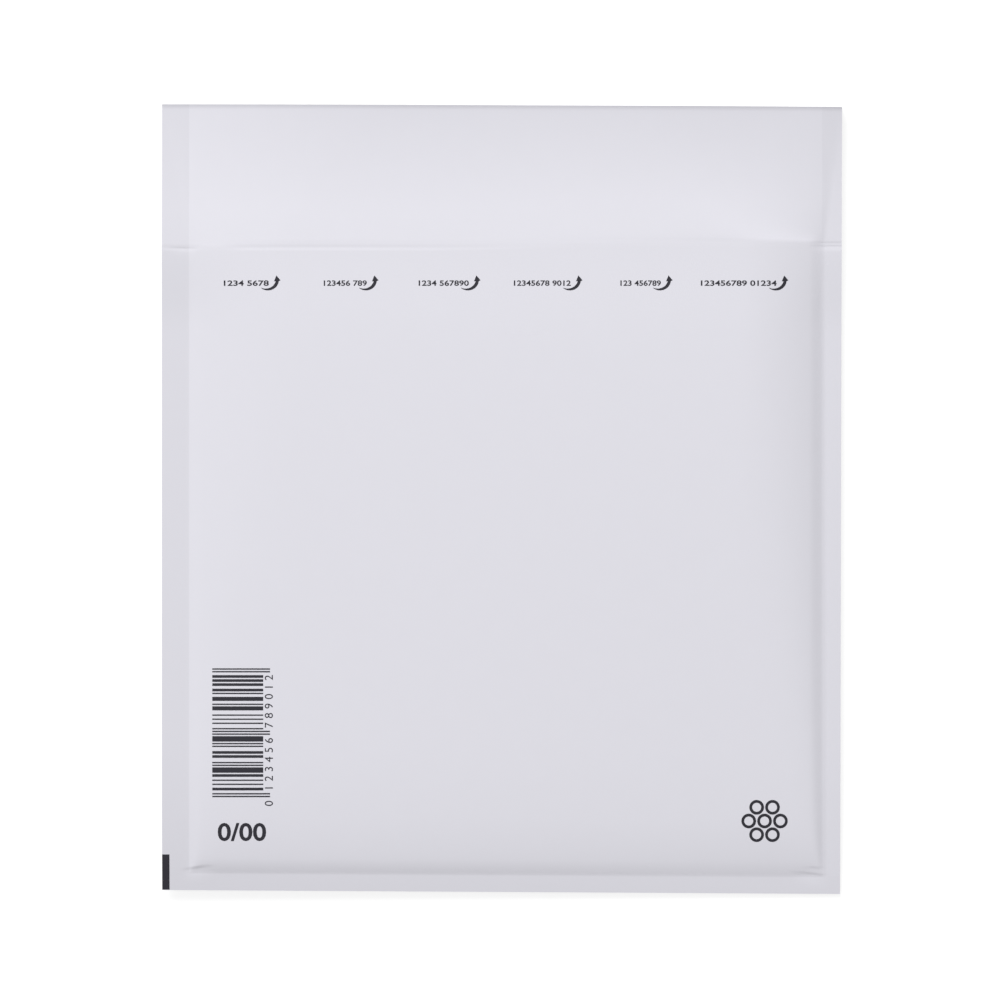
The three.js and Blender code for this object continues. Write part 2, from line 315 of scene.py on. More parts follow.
def crease_line(x, s):
    """Where the crease lies on the sheet: level, then a little higher on its right part."""
    level = s.crease - 0.2 * MM + s.crease_shift * smooth((x + 20 * MM) / (60 * MM))
    return square(x, level, s)[1]


def wrinkle(x, y, ends, half_width, below=1):
    """A narrow trough from 0 to 1 along a line between two places, fading at its ends. Its lower
    side can be longer than its upper one."""
    (x0, y0), (x1, y1) = ends
    along = ((x - x0) * (x1 - x0) + (y - y0) * (y1 - y0)) / ((x1 - x0) ** 2 + (y1 - y0) ** 2)
    aside = ((y - y0) * (x1 - x0) - (x - x0) * (y1 - y0)) / math.hypot(x1 - x0, y1 - y0)
    return hump(np.where(aside < 0, aside / below, aside), 0, half_width) * hump(along, 0.5, 0.5) ** 0.5


def creases(x, y, s):
    """Depth of the pressed lines: the groove across at the flap, harder on its left part, the
    pinches where the stiff margins bend, the tucks at the lower corners and faint crumples."""
    line = crease_line(x, s)
    pressed = mix(1, 0.15, smooth((x + 50 * MM) / (80 * MM))) - 0.85 * hump(x, -101 * MM, 12 * MM)
    depth = s.crease_depth * pressed * hump(y, line, s.crease_half_width)
    for ends, half_width, share in PINCHES:
        depth = depth + s.pinch_depth * share * wrinkle(x, y, ends, half_width, 3)
    for ends, half_width, share in TUCKS:
        depth = depth + s.tuck_depth * share * wrinkle(x, y, ends, half_width, 5)
    for ends, half_width, share in CRUMPLES:
        depth = depth + s.crumple * share * wrinkle(x, y, ends, half_width)
    return depth


def front_top(x, y, s):
    """Outer face of the front sheet: the body, then the flap past the crease, less the lines that
    are pressed into it."""
    half = s.crease_half_width
    past_crease = smooth((y - crease_line(x, s) + half) / (2 * half))
    return mix(body_top(x, y, s), flap_top(x, y, s), past_crease) - creases(x, y, s)


def back_under(x, y, s):
    """Underside of the back panel: flat on the table, with edges that rise as a quarter sine. The
    distances inside the three seams are joined by a power mean, which rounds the corners."""
    run = mix(s.back_run, s.back_run_at_mouth, openness(y, s))
    left, right, bottom = inside_seams(x, y, s)
    distances = (left * s.back_run / s.back_left_run, right, bottom)
    inside = sum(np.maximum(distance, TINY) ** -3.0 for distance in distances) ** (-1 / 3)
    return (seam_level(x, y, s) - s.paper) * (1 - quarter_sine(inside / run))


def parallel(surface, distance):
    """A surface at a distance measured square to another, from its slopes by central differences."""
    h = 0.05 * MM

    def moved(x, y, s):
        slope_x = (surface(x + h, y, s) - surface(x - h, y, s)) / (2 * h)
        slope_y = (surface(x, y + h, s) - surface(x, y - h, s)) / (2 * h)
        return surface(x, y, s) + distance * np.sqrt(1 + slope_x**2 + slope_y**2)

    return moved


def joined_lines(stops):
    """Grid lines from stop to stop. Each stretch has steps of the size given with its end."""
    lines = [stops[0]]
    for end, step in stops[1:]:
        count = max(1, math.ceil((end - lines[-1]) / step - TINY))
        lines += list(np.linspace(lines[-1], end, count + 1)[1:])
    return np.array(lines)


def line_number(lines, value):
    return int(np.argmin(np.abs(lines - value)))


def grid_quads(ids, keep=None, facing_down=False):
    """The faces between the points of a grid, as rows of four point numbers."""
    quads = np.stack([ids[:-1, :-1], ids[1:, :-1], ids[1:, 1:], ids[:-1, 1:]], axis=-1)
    quads = quads.reshape(-1, 4) if keep is None else quads[keep]
    return quads[:, ::-1] if facing_down else quads


def strip_quads(upper, lower):
    """The wall between two rows of points. It faces right of the way from first to last."""
    return np.stack([upper[:-1], lower[:-1], lower[1:], upper[1:]], axis=-1)


def new_piece(name, points, faces, material, replaces=(), smooth_shaded=True):
    """Puts points and faces into a mesh object that rides on the part."""
    used, numbers = np.unique(np.concatenate([np.ravel(f) for f in faces]), return_inverse=True)
    loops, at = [], 0
    for group in faces:
        loops += numbers[at : at + group.size].reshape(group.shape).tolist()
        at += group.size
    mesh = bpy.data.meshes.new(name)
    mesh.from_pydata(points[used].tolist(), [], loops)
    mesh.validate()
    mesh.polygons.foreach_set("use_smooth", [smooth_shaded] * len(mesh.polygons))
    mesh.materials.append(material)
    mesh.update()
    if smooth_shaded:
        mesh.set_sharp_from_angle(angle=math.radians(40))
    piece = bpy.data.objects.new(name, mesh)
    bpy.context.scene.collection.objects.link(piece)
    return finished(piece, replaces)


def finished(piece, replaces=()):
    """Joins a piece to the frame, and hides the nodes that it stands for."""
    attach(piece, "root")
    if replaces:
        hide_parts(*replaces)
    return piece


def pocket_layers(xs, ys, heights, marks):
    """Points and faces of a pocket folded from one sheet. The front layer covers the whole grid.
    The back layer stops at the mouth, and joins the front one outside the pocket's three lines.
    heights holds the top, ceiling, joint, floor and underside, each as an array on the grid."""
    left, right, bottom, mouth = marks
    across, up = np.meshgrid(np.arange(len(xs)), np.arange(len(ys)), indexing="ij")
    x, y = np.meshgrid(xs, ys, indexing="ij")
    is_open = (across > left) & (across < right) & (up > bottom)
    ceiling = np.where(is_open | (up > mouth), heights["ceiling"], heights["joint"])
    layers = [heights["top"], ceiling, heights["floor"], heights["under"]]
    points = np.concatenate([np.stack([x, y, z], axis=-1).reshape(-1, 3) for z in layers])
    top, inner, floor, under = (np.arange(len(points)).reshape(4, len(xs), len(ys)))
    floor = np.where(is_open, floor, inner)

    cell_across, cell_up = across[:-1, :-1], up[:-1, :-1]
    in_pocket = (cell_across >= left) & (cell_across < right) & (cell_up >= bottom)
    past_mouth = cell_up >= mouth
    closed = slice(0, mouth + 1)
    faces = [
        grid_quads(top),
        grid_quads(inner, in_pocket | past_mouth, facing_down=True),
        grid_quads(floor, in_pocket & ~past_mouth),
        grid_quads(under, ~past_mouth, facing_down=True),
        strip_quads(top[::-1, -1], inner[::-1, -1]),
        strip_quads(floor[::-1, mouth], under[::-1, mouth]),
        strip_quads(top[:, 0], inner[:, 0]),
        strip_quads(inner[:, 0], under[:, 0]),
        strip_quads(top[0, ::-1], inner[0, ::-1]),
        strip_quads(inner[0, closed][::-1], under[0, closed][::-1]),
        strip_quads(top[-1], inner[-1]),
        strip_quads(inner[-1, closed], under[-1, closed]),
    ]
    return points, faces


def slab_faces(top, under):
    """The faces of a thin slab between two like grids of point numbers, closed all round."""
    return [
        grid_quads(top),
        grid_quads(under, facing_down=True),
        strip_quads(top[:, 0], under[:, 0]),
        strip_quads(top[::-1, -1], under[::-1, -1]),
        strip_quads(top[0, ::-1], under[0, ::-1]),
        strip_quads(top[-1], under[-1]),
    ]


def band_layers(xs, ys, top_height, under_height):
    """Points and faces of a thin band between two heights on a grid, closed all round."""
    x, y = np.meshgrid(xs, ys, indexing="ij")
    layers = [top_height(x, y), under_height(x, y)]
    points = np.concatenate([np.stack([x, y, z], axis=-1).reshape(-1, 3) for z in layers])
    top, under = np.arange(len(points)).reshape(2, len(xs), len(ys))
    return points, slab_faces(top, under)


def merged(groups):
    """Several groups of points and faces as one."""
    points, faces, count = [], [], 0
    for group_points, group_faces in groups:
        points.append(group_points)
        faces += [face + count for face in group_faces]
        count += len(group_points)
    return np.concatenate(points), faces


def add_node(tree, kind, links=None, **settings):
    """Adds a shader node, sets it, and links or sets its sockets by name or number."""
    node = tree.nodes.new(kind)
    for name, value in settings.items():
        setattr(node, name, value)
    for socket, value in (links or {}).items():
        if isinstance(value, bpy.types.NodeSocket):
            tree.links.new(value, node.inputs[socket])
        else:
            node.inputs[socket].default_value = value
    return node


def new_material(name):
    """An empty node material and its output node."""
    material = bpy.data.materials.new(name)
    material.use_nodes = True
    material.node_tree.nodes.clear()
    return material, add_node(material.node_tree, "ShaderNodeOutputMaterial")


def with_alpha(rgb):
    return (*rgb, 1)


def kraft_paper(c, s):
    """White kraft, machine finished: matt, with faint clouds in the sheet and a fine tooth. The glued margins are
    pressed flat, and painted shade makes them a touch greyer, up to a sharp line at each seam, for the shade that falls
    there beside the pad."""
    material, output = new_material("white_kraft_paper")
    tree = material.node_tree
    place = add_node(tree, "ShaderNodeTexCoord").outputs["Object"]
    clouds = add_node(tree, "ShaderNodeTexNoise", {"Vector": place, "Scale": 1 / (7 * MM), "Detail": 3})
    tone = add_node(
        tree,
        "ShaderNodeMix",
        {"Factor": clouds.outputs["Fac"], 6: with_alpha([v * 0.985 for v in c]), 7: with_alpha(c)},
        data_type="RGBA",
    )
    lean = s.seam_lean / (s.crease - CAD_LOW.y)
    skew = s.bottom_skew / (CAD_HIGH.x - CAD_LOW.x)
    # Painted shade on the glued margins: for each, the way inwards, the place of its seam, its sign, and the share of
    # light that is left.
    margins = (
        ((1, 0, 0), CAD_LOW.x + s.left_seam, 1, 0.95),
        ((1, lean, 0), CAD_HIGH.x - s.right_seam + lean * s.crease, -1, 0.965),
        ((skew, 1, 0), CAD_LOW.y + s.bottom_seam, 1, 0.95),
    )
    pressed = None
    for inwards, seam, sign, share in margins:
        level = add_node(tree, "ShaderNodeVectorMath", {0: place, 1: inwards}, operation="DOT_PRODUCT")
        painted_margin_shade = add_node(
            tree,
            "ShaderNodeMapRange",
            {0: level.outputs["Value"], 1: seam, 2: seam + sign * 0.3 * MM, 3: share, 4: 1},
        )
        both = {0: painted_margin_shade.outputs[0], 1: pressed.outputs[0] if pressed else 1}
        pressed = add_node(tree, "ShaderNodeMath", both, operation="MINIMUM")
    # The paper's colour is darkened by the painted shade on the margins.
    tone = add_node(
        tree, "ShaderNodeVectorMath", {0: tone.outputs[2], "Scale": pressed.outputs[0]}, operation="SCALE"
    )
    tooth = add_node(tree, "ShaderNodeTexNoise", {"Vector": place, "Scale": 1 / (0.5 * MM), "Detail": 4})
    bump = add_node(
        tree, "ShaderNodeBump", {"Height": tooth.outputs["Fac"], "Strength": 0.25, "Distance": 0.02 * MM}
    )
    shader = add_node(
        tree,
        "ShaderNodeBsdfPrincipled",
        {"Base Color": tone.outputs[0], "Roughness": 0.72, "IOR": 1.45, "Normal": bump.outputs["Normal"]},
    )
    tree.links.new(shader.outputs["BSDF"], output.inputs["Surface"])
    return material


def bubble_film(c):
    """Low-density polyethylene film: hazy, glossy, and clear enough to show the paper behind."""
    material, output = new_material("polyethylene_film")
    tree = material.node_tree
    place = add_node(tree, "ShaderNodeTexCoord").outputs["Object"]
    haze = add_node(tree, "ShaderNodeTexNoise", {"Vector": place, "Scale": 1 / (4 * MM), "Detail": 2})
    ripple = add_node(
        tree, "ShaderNodeBump", {"Height": haze.outputs["Fac"], "Strength": 0.3, "Distance": 0.2 * MM}
    )
    tone = add_node(
        tree,
        "ShaderNodeMix",
        {"Factor": haze.outputs["Fac"], 6: with_alpha([v * 0.94 for v in c]), 7: with_alpha(c)},
        data_type="RGBA",
    )
    shader = add_node(
        tree,
        "ShaderNodeBsdfPrincipled",
        {
            "Base Color": tone.outputs[2],
            "Roughness": 0.22,
            "IOR": 1.51,
            "Alpha": 0.45,
            "Normal": ripple.outputs["Normal"],
        },
    )
    tree.links.new(shader.outputs["BSDF"], output.inputs["Surface"])
    return material


def hot_melt(c):
    """Hot-melt adhesive: a pale amber film with a wet gloss and slight ripples across."""
    material, output = new_material("hot_melt_adhesive")
    tree = material.node_tree
    place = add_node(tree, "ShaderNodeTexCoord").outputs["Object"]
    ripple = add_node(tree, "ShaderNodeTexNoise", {"Vector": place, "Scale": 1 / (3 * MM), "Detail": 2})
    tone = add_node(
        tree,
        "ShaderNodeMix",
        {"Factor": ripple.outputs["Fac"], 6: with_alpha([v * 0.9 for v in c]), 7: with_alpha(c)},
        data_type="RGBA",
    )
    bump = add_node(
        tree, "ShaderNodeBump", {"Height": ripple.outputs["Fac"], "Strength": 0.4, "Distance": 0.1 * MM}
    )
    shader = add_node(
        tree,
        "ShaderNodeBsdfPrincipled",
        {"Base Color": tone.outputs[2], "Roughness": 0.2, "IOR": 1.5, "Normal": bump.outputs["Normal"]},
    )
    tree.links.new(shader.outputs["BSDF"], output.inputs["Surface"])
    return material


def siliconed_paper(c):
    """Siliconed release paper: dense and smooth, with a soft sheen from its coating."""
    material, output = new_material("siliconed_paper")
    tree = material.node_tree
    place = add_node(tree, "ShaderNodeTexCoord").outputs["Object"]
    fibre = add_node(tree, "ShaderNodeTexNoise", {"Vector": place, "Scale": 1 / (1.5 * MM), "Detail": 4})
    tone = add_node(
        tree,
        "ShaderNodeMix",
        {"Factor": fibre.outputs["Fac"], 6: with_alpha([v * 0.96 for v in c]), 7: with_alpha(c)},
        data_type="RGBA",
    )
    bump = add_node(
        tree, "ShaderNodeBump", {"Height": fibre.outputs["Fac"], "Strength": 0.15, "Distance": 0.02 * MM}
    )
    shader = add_node(
        tree,
        "ShaderNodeBsdfPrincipled",
        {"Base Color": tone.outputs[2], "Roughness": 0.38, "IOR": 1.45, "Normal": bump.outputs["Normal"]},
    )
    tree.links.new(shader.outputs["BSDF"], output.inputs["Surface"])
    return material


def printing_ink(c):
    """Flexographic ink: matt, soaked a little unevenly into the paper."""
    material, output = new_material("printing_ink")
    tree = material.node_tree
    place = add_node(tree, "ShaderNodeTexCoord").outputs["Object"]
    soak = add_node(tree, "ShaderNodeTexNoise", {"Vector": place, "Scale": 1 / (0.4 * MM), "Detail": 3})
    paler = [v + 0.012 for v in c]
    tone = add_node(
        tree,
        "ShaderNodeMix",
        {"Factor": soak.outputs["Fac"], 6: with_alpha(c), 7: with_alpha(paler)},
        data_type="RGBA",
    )
    shader = add_node(
        tree, "ShaderNodeBsdfPrincipled", {"Base Color": tone.outputs[2], "Roughness": 0.6, "IOR": 1.5}
    )
    tree.links.new(shader.outputs["BSDF"], output.inputs["Surface"])
    return material


def studio_floor(c):
    """Matt white sweep. The camera sees it brighter than it is lit, so that it stays white and
    keeps only the shadow. From below it is clear."""
    material, output = new_material("studio_floor")
    tree = material.node_tree
    ray = add_node(tree, "ShaderNodeLightPath")
    seen = add_node(
        tree,
        "ShaderNodeMath",
        {0: ray.outputs["Is Camera Ray"], 1: ray.outputs["Is Glossy Ray"]},
        operation="MAXIMUM",
    )
    seen_through = add_node(
        tree,
        "ShaderNodeMath",
        {0: seen.outputs[0], 1: ray.outputs["Is Transmission Ray"]},
        operation="MAXIMUM",
    )
    matt = add_node(tree, "ShaderNodeBsdfDiffuse", {"Color": with_alpha(c)})
    glow = add_node(tree, "ShaderNodeEmission", {"Strength": 0.78})
    both = add_node(tree, "ShaderNodeAddShader", {0: matt.outputs[0], 1: glow.outputs[0]})
    top_face = add_node(
        tree, "ShaderNodeMixShader", {0: seen_through.outputs[0], 1: matt.outputs[0], 2: both.outputs[0]}
    )
    clear = add_node(tree, "ShaderNodeBsdfTransparent")
    side = add_node(tree, "ShaderNodeNewGeometry")
    faces = add_node(
        tree,
        "ShaderNodeMixShader",
        {0: side.outputs["Backfacing"], 1: top_face.outputs[0], 2: clear.outputs[0]},
    )
    tree.links.new(faces.outputs[0], output.inputs["Surface"])
    return material


class EnvelopeOperator:
    """What the envelope's operators share: their sizes and colours."""

    bl_options = {"REGISTER", "UNDO"}

    def sizes(self):
        return bpy.context.scene.envelope_sizes

    def colours(self):
        return bpy.context.scene.envelope_colours


def cover_grid(s):
    """Grid lines of the cover: half a millimetre on the steep step, wider on the crown."""
    fine, margin, soft, wide = 0.5 * MM, 1 * MM, 2 * MM, 5 * MM
    left, right = CAD_LOW.x + s.left_seam, CAD_HIGH.x - s.right_seam
    xs = joined_lines(
        [
            CAD_LOW.x,
            (left, margin),
            (left + s.side_step, fine),
            (left + s.left_crown, soft),
            (right - s.right_crown, wide),
            (right - s.side_step, soft),
            (right, fine),
            (CAD_HIGH.x, margin),
        ]
    )
    bottom = CAD_LOW.y + s.bottom_seam
    ys = joined_lines(
        [
            CAD_LOW.y,
            (bottom - 1 * MM, soft),
            (bottom + s.side_step, 0.4 * MM),
            (bottom + s.bottom_crown, soft),
            (s.crease - s.mouth_run, wide),
            (s.crease - s.mouth_setback, soft),
            (s.crease - 2.4 * MM, soft),
            (s.crease + 3.6 * MM, 0.25 * MM),
            (CAD_HIGH.y - s.burr_run, soft),
            (CAD_HIGH.y, 0.3 * MM),
        ]
    )
    marks = (
        line_number(xs, left),
        line_number(xs, right),
        line_number(ys, bottom),
        line_number(ys, s.crease - s.mouth_setback),
    )
    return xs, ys, marks


class ENVELOPE_OT_cover(EnvelopeOperator, bpy.types.Operator):
    """Folds the paper cover: front panel, back panel, side seams and flap in one sheet"""

    bl_idname = "envelope.cover"
    bl_label = "Paper cover"

    def execute(self, context):
        s = self.sizes()
        xs, ys, marks = cover_grid(s)
        x, y = np.meshgrid(xs, ys, indexing="ij")
        under_front = parallel(front_top, -s.paper)(x, y, s)
        heights = {
            "top": front_top(x, y, s),
            "ceiling": under_front,
            "joint": seam_level(x, y, s),
            "floor": parallel(back_under, s.paper)(x, y, s),
            "under": back_under(x, y, s),
        }
        points, faces = pocket_layers(xs, ys, heights, marks)
        points[:, 0], points[:, 1] = skewed(points[:, 0], points[:, 1], s)
        new_piece(
            "paper_cover", points, faces, kraft_paper(self.colours().paper, s), ["outer_cover"]
        )
        return {"FINISHED"}


def film_surfaces(s):
    """The pocket side of the film, above and below, and the middle between the two layers."""
    outside = s.paper + s.fit_gap
    near_front = parallel(front_top, -outside)
    near_back = parallel(back_under, outside)
    front_flat = parallel(front_top, -outside - s.lining_height)
    back_flat = parallel(back_under, outside + s.lining_height)

    def middle(x, y):
        return (near_front(x, y, s) + near_back(x, y, s)) / 2

    def ceiling(x, y):
        return np.maximum(front_flat(x, y, s), middle(x, y) + 0.2 * MM)

    def floor(x, y):
        return np.minimum(back_flat(x, y, s), middle(x, y) - 0.2 * MM)

    return middle, ceiling, floor


def bubble_centres(s, low, high):
    """Centres of bubbles in rows, every second row moved by half a pitch."""
    row = s.bubble_pitch * math.sqrt(0.75)
    rows = int((high[1] - low[1]) / row) + 1
    columns = int((high[0] - low[0]) / s.bubble_pitch) + 1
    j, i = np.meshgrid(np.arange(rows), np.arange(columns), indexing="ij")
    x = low[0] + (i + 0.5 * (j % 2)) * s.bubble_pitch
    y = high[1] - j * row
    inside = x <= high[0]
    return x[inside], y[inside]


def bubbles(s, xs, ys, flat, height, up):
    """Closed domes on the film. A dome's radius shrinks from its foot as a quarter circle does
    with its height, so the sides are steep and the top is nearly flat."""
    sides, rings = 14, 4
    turn = np.arange(sides) / sides * 2 * math.pi
    lift = np.linspace(0, math.pi / 2, rings + 1)[:-1]
    radius = s.bubble_radius * np.cos(lift) ** 0.6
    level = height * np.sin(lift) ** 1.0
    ring_x = radius[:, None] * np.cos(turn)
    ring_y = radius[:, None] * np.sin(turn)
    ring_z = np.repeat(level[:, None], sides, axis=1)
    local = np.stack([ring_x, ring_y, ring_z], axis=-1).reshape(-1, 3)
    local = np.concatenate([local, [[0, 0, height], [0, 0, 0]]])
    centres = np.stack([xs, ys, np.zeros_like(xs)], axis=-1)
    points = centres[:, None, :] + local[None]
    points[:, :, 2] = flat(points[:, :, 0], points[:, :, 1]) + points[:, :, 2] * up

    ids = np.arange(rings * sides).reshape(rings, sides)
    after = np.roll(ids, -1, axis=1)
    walls = np.stack([ids[:-1], after[:-1], after[1:], ids[1:]], axis=-1).reshape(-1, 4)
    cap = np.stack([ids[-1], after[-1], np.full(sides, rings * sides)], axis=-1)
    foot = np.stack([after[0], ids[0], np.full(sides, rings * sides + 1)], axis=-1)
    starts = (np.arange(len(xs)) * len(local))[:, None, None]
    walls = (walls[None] + starts).reshape(-1, 4)
    ends = (np.concatenate([cap, foot])[None] + starts).reshape(-1, 3)
    if up < 0:
        walls, ends = walls[:, ::-1], ends[:, ::-1]
    return points.reshape(-1, 3), [walls, ends]


class ENVELOPE_OT_lining(EnvelopeOperator, bpy.types.Operator):
    """Folds the air-bubble film inside the cover, bubbles towards the paper"""

    bl_idname = "envelope.lining"
    bl_label = "Bubble lining"

    def execute(self, context):
        s = self.sizes()
        middle, ceiling, floor = film_surfaces(s)
        weld = 6 * MM
        left, right = PAD_LOW.x, PAD_HIGH.x
        soft, wide = 2 * MM, 5 * MM
        mouth = s.crease - s.mouth_setback
        reach = s.right_crown
        xs = joined_lines(
            [
                left,
                (left + weld, soft),
                (left + reach, soft),
                (right - reach, wide),
                (right - weld, soft),
                (right, soft),
            ]
        )
        ys = joined_lines(
            [
                PAD_LOW.y,
                (PAD_LOW.y + weld, soft),
                (PAD_LOW.y + reach, soft),
                (s.crease - s.mouth_run, wide),
                (mouth, soft),
                (PAD_HIGH.y, soft),
            ]
        )
        x, y = np.meshgrid(xs, ys, indexing="ij")
        marks = (
            line_number(xs, left + weld),
            line_number(xs, right - weld),
            line_number(ys, PAD_LOW.y + weld),
            line_number(ys, mouth),
        )
        across, up = np.meshgrid(np.arange(len(xs)), np.arange(len(ys)), indexing="ij")
        is_open = (across > marks[0]) & (across < marks[1]) & (up > marks[2])
        ceiling_z = np.where(is_open, ceiling(x, y), middle(x, y))
        floor_z = np.where(is_open, floor(x, y), middle(x, y))
        heights = {
            "top": ceiling_z + s.film,
            "ceiling": ceiling_z,
            "joint": ceiling_z,
            "floor": floor_z,
            "under": floor_z - s.film,
        }
        points, faces = pocket_layers(xs, ys, heights, marks)
        foot = weld + s.bubble_radius + 1 * MM
        low = (left + foot, PAD_LOW.y + foot)
        high = (right - foot, PAD_HIGH.y - s.bubble_radius)
        back_high = (right - foot, mouth - s.bubble_radius)
        dome = s.lining_height - s.film
        groups = [(points, faces)]
        front_x, front_y = bubble_centres(s, low, high)
        back_x, back_y = bubble_centres(s, low, back_high)
        groups.append(bubbles(s, front_x, front_y, lambda u, v: ceiling(u, v) + s.film, dome, 1))
        groups.append(bubbles(s, back_x, back_y, lambda u, v: floor(u, v) - s.film, dome, -1))
        points, faces = merged(groups)
        film = bubble_film(self.colours().film)
        lining = new_piece("film_lining", points, faces, film, ["bubble_lining"])
        return {"FINISHED"}


class ENVELOPE_OT_seal(EnvelopeOperator, bpy.types.Operator):
    """Lays the adhesive and its release liner along the inner side of the flap"""

    bl_idname = "envelope.seal"
    bl_label = "Flap seal"

    def execute(self, context):
        s, c = self.sizes(), self.colours()
        depth = s.paper + 0.05 * MM
        glue = ("glue_band", GLUE_LOW, GLUE_HIGH, hot_melt(c.glue), "adhesive_strip", "hot_melt_adhesive")
        liner = ("liner_band", LINER_LOW, LINER_HIGH, siliconed_paper(c.liner), "release_liner", "siliconed_paper")
        for name, low, high, material, node, slot in (glue, liner):
            xs = joined_lines([low.x, (high.x, 2 * MM)])
            ys = joined_lines([low.y, (high.y, 2 * MM)])
            thickness = 0.2 * MM
            top = parallel(front_top, -depth)
            under = parallel(front_top, -depth - thickness)
            points, faces = band_layers(
                xs, ys, lambda x, y, f=top: f(x, y, s), lambda x, y, f=under: f(x, y, s)
            )
            points[:, 0], points[:, 1] = skewed(points[:, 0], points[:, 1], s)
            new_piece(name, points, faces, material, [node])
            depth += thickness + 0.05 * MM
        return {"FINISHED"}


def laid_top(x, y, s):
    """Height of the paper's face where the print lies, on the sheet as it was cut."""
    return front_top(*square(x, y, s), s)


def ink_film(x, y, s):
    """The two faces of a film of ink over places on the paper, as grids of points."""
    paper = laid_top(x, y, s)
    return [np.stack([x, y, paper + lift], axis=-1).reshape(-1, 3) for lift in (s.ink, -s.ink)]


def ink_bar(s, x_range, y_range):
    """A printed rectangle, laid over the paper as a thin closed film."""
    cell = 1.5 * MM
    xs, ys = joined_lines([x_range[0], (x_range[1], cell)]), joined_lines([y_range[0], (y_range[1], cell)])
    return band_layers(xs, ys, lambda x, y: laid_top(x, y, s) + s.ink, lambda x, y: laid_top(x, y, s) - s.ink)


def ink_stroke(s, centre, widths):
    """A printed stroke: its edges lie half its width to each side of a line of points, square to
    the line, and its two faces are joined all round."""
    along = np.gradient(centre, axis=0)
    along /= np.linalg.norm(along, axis=1)[:, None]
    side = np.stack([along[:, 1], -along[:, 0]], axis=-1)
    across = np.linspace(-0.5, 0.5, 3)
    flat = centre[:, None, :] + side[:, None, :] * (widths[:, None, None] * across[None, :, None])
    points = np.concatenate(ink_film(flat[..., 0], flat[..., 1], s))
    top, under = np.arange(len(points)).reshape(2, len(centre), len(across))
    return points, slab_faces(top[:, ::-1], under[:, ::-1])


def ink_ring(s, centre, radius, stroke):
    """A printed ring: a four-cornered section carried round a circle and closed on itself."""
    turn = np.linspace(0, 2 * math.pi, 32, endpoint=False)
    spread = radius + stroke * np.array([[-0.5], [0.5]])
    x, y = centre[0] + spread * np.cos(turn), centre[1] + spread * np.sin(turn)
    points = np.concatenate(ink_film(x, y, s))
    inner_top, outer_top, inner_under, outer_under = np.arange(len(points)).reshape(4, len(turn))
    section = np.stack([inner_top, outer_top, outer_under, inner_under, inner_top])
    after = np.roll(section, -1, axis=1)
    quads = np.stack([section[:-1], section[1:], after[1:], after[:-1]], axis=-1)
    return points, [quads.reshape(-1, 4)]


def figures(s, words, size, place, turn=0.0, width=None, weight=0.0):
    """Plain figures in Blender's own face, as a closed film of ink over the paper. They start at a
    place, or are centred on it where no width is given, and are cut into cells that follow the
    paper. weight makes their strokes bolder by that share of their size."""
    curve = bpy.data.curves.new("figures", "FONT")
    curve.body = words
    curve.size = size
    curve.offset = weight * size
    curve.extrude = s.ink
    curve.resolution_u = 4
    text = bpy.data.objects.new("figures", curve)
    bpy.context.scene.collection.objects.link(text)
    bpy.context.view_layer.update()
    mesh = bpy.data.meshes.new_from_object(text)
    bpy.data.objects.remove(text)
    bpy.data.curves.remove(curve)
    flat = cut_into_cells(mesh, 1.5 * MM)
    low, high = flat[:, 0].min(), flat[:, 0].max()
    u = (flat[:, 0] - low) * (width / (high - low)) if width else flat[:, 0] - (low + high) / 2
    x = place[0] + u * math.cos(turn) - flat[:, 1] * math.sin(turn)
    y = place[1] + u * math.sin(turn) + flat[:, 1] * math.cos(turn)
    points = np.stack([x, y, laid_top(x, y, s) + flat[:, 2]], axis=-1)
    mesh.calc_loop_triangles()
    corners = np.zeros(len(mesh.loop_triangles) * 3, dtype=int)
    mesh.loop_triangles.foreach_get("vertices", corners)
    bpy.data.meshes.remove(mesh)
    return points, [corners.reshape(-1, 3)]


def cut_into_cells(mesh, cell):
    """Merges a mesh's doubles and cuts it along a square grid. Returns its points."""
    body = bmesh.new()
    body.from_mesh(mesh)
    bmesh.ops.remove_doubles(body, verts=body.verts, dist=TINY)
    bmesh.ops.triangulate(body, faces=body.faces)
    spread = np.array([(vertex.co.x, vertex.co.y) for vertex in body.verts])
    for axis, normal in enumerate(((1, 0, 0), (0, 1, 0))):
        for cut in np.arange(spread[:, axis].min() + cell, spread[:, axis].max(), cell):
            everything = body.verts[:] + body.edges[:] + body.faces[:]
            place = tuple(cut * n for n in normal)
            bmesh.ops.bisect_plane(body, geom=everything, plane_co=place, plane_no=normal)
    bmesh.ops.triangulate(body, faces=body.faces)
    body.to_mesh(mesh)
    body.free()
    flat = np.zeros(len(mesh.vertices) * 3)
    mesh.vertices.foreach_get("co", flat)
    return flat.reshape(-1, 3)


def print_piece(name, groups, c):
    """Joins groups of print into one piece, in the one ink."""
    ink = bpy.data.materials.get("printing_ink") or printing_ink(c.ink)
    points, faces = merged(groups)
    return new_piece(name, points, faces, ink, smooth_shaded=False)


OPENING_MARKS = (
    ("1234 5678", -98.1 * MM, 15.9 * MM),
    ("123456 789", -62.8 * MM, 15.2 * MM),
    ("1234 567890", -29.3 * MM, 17.7 * MM),
    ("12345678 9012", 4.3 * MM, 20.1 * MM),
    ("123 456789", 41.9 * MM, 14.3 * MM),
    ("123456789 01234", 70.3 * MM, 26.8 * MM),
)
OPENING_MARKS_Y = 75.3 * MM


